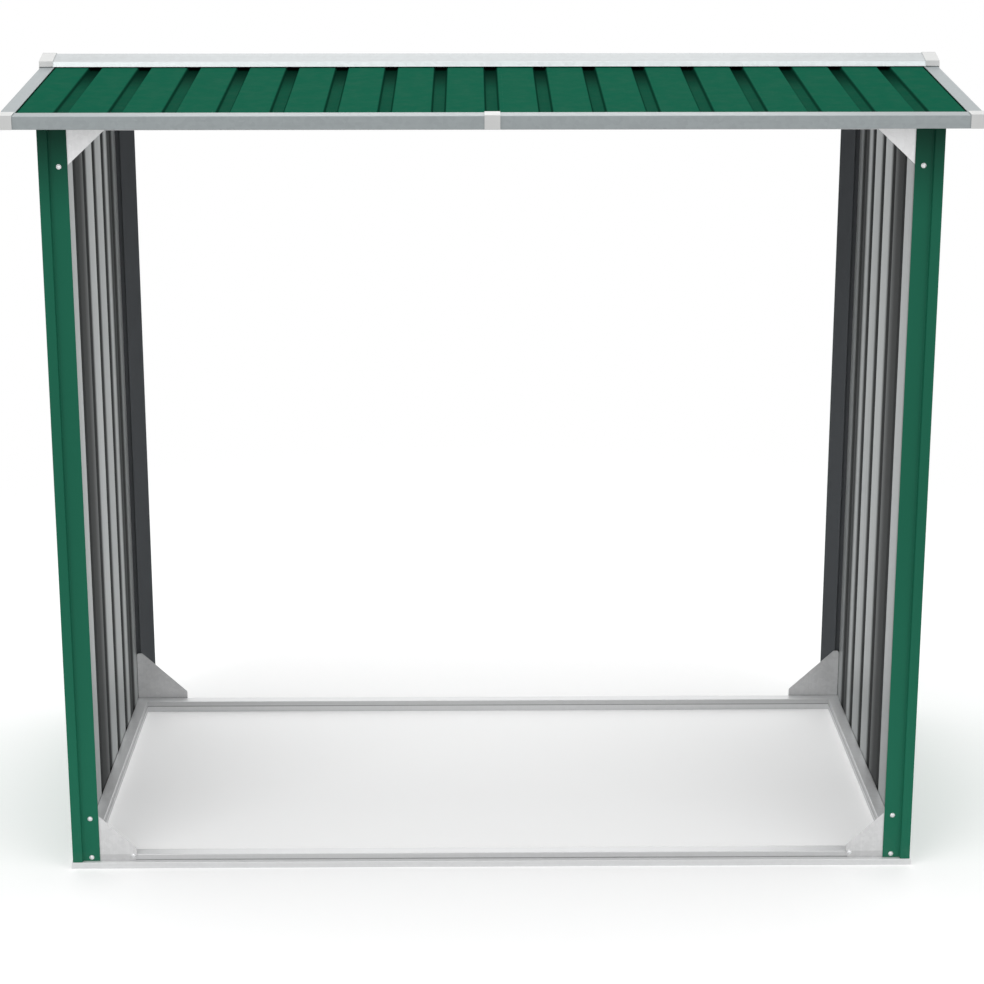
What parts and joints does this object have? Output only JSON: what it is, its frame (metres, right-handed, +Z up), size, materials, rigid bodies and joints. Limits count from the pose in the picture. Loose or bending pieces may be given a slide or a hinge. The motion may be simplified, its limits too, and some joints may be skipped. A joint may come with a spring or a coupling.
{
  "type": "log store",
  "caption": "Open-fronted sheet-steel log store: corner posts on a rail base, ribbed side walls and a low ribbed ridge roof with trims.",
  "frame": {"origin": "middle of the store's plan, on the ground", "axes": "+X along the front to the right, +Y from the front to the rear, +Z up"},
  "size_m": [1.7206, 0.9106, 1.5135],
  "materials": {
    "post_paint": "satin green paint",
    "roof_paint": "satin green paint",
    "wall_steel": "galvanised inside, green paint outside",
    "base_steel": "galvanised",
    "frame_steel": "galvanised",
    "gusset_steel": "galvanised",
    "trim_steel": "pale grey",
    "ridge_steel": "pale grey",
    "cover_plastic": "satin white"
  },
  "bodies": {
    "root": {"base_rail_front": "base_steel", "base_rail_left": "base_steel", "base_rail_rear": "base_steel", "base_rail_right": "base_steel", "corner_cover_front_left": "cover_plastic", "corner_cover_front_right": "cover_plastic", "corner_cover_rear_left": "cover_plastic", "corner_cover_rear_right": "cover_plastic", "eaves_trim_front_left": "trim_steel", "eaves_trim_front_right": "trim_steel", "eaves_trim_rear_left": "trim_steel", "eaves_trim_rear_right": "trim_steel", "gable_panel_left": "frame_steel", "gable_panel_right": "frame_steel", "gusset_front_left_bottom": "gusset_steel", "gusset_front_left_top": "gusset_steel", "gusset_front_right_bottom": "gusset_steel", "gusset_front_right_top": "gusset_steel", "gusset_rear_left_bottom": "gusset_steel", "gusset_rear_left_top": "gusset_steel", "gusset_rear_right_bottom": "gusset_steel", "gusset_rear_right_top": "gusset_steel", "head_rail_front": "frame_steel", "head_rail_rear": "frame_steel", "joint_cover_front": "cover_plastic", "joint_cover_rear": "cover_plastic", "post_front_left": "post_paint", "post_front_right": "post_paint", "post_rear_left": "post_paint", "post_rear_right": "post_paint", "ridge_beam": "frame_steel", "ridge_cap": "ridge_steel", "ridge_saddle_left": "cover_plastic", "ridge_saddle_right": "cover_plastic", "roof_sheet_front_left": "roof_paint", "roof_sheet_front_right": "roof_paint", "roof_sheet_rear_left": "roof_paint", "roof_sheet_rear_right": "roof_paint", "verge_trim_front_left": "trim_steel", "verge_trim_front_right": "trim_steel", "verge_trim_rear_left": "trim_steel", "verge_trim_rear_right": "trim_steel", "wall_left_front": "wall_steel", "wall_left_rear": "wall_steel", "wall_right_front": "wall_steel", "wall_right_rear": "wall_steel"}
  },
  "joints": []
}
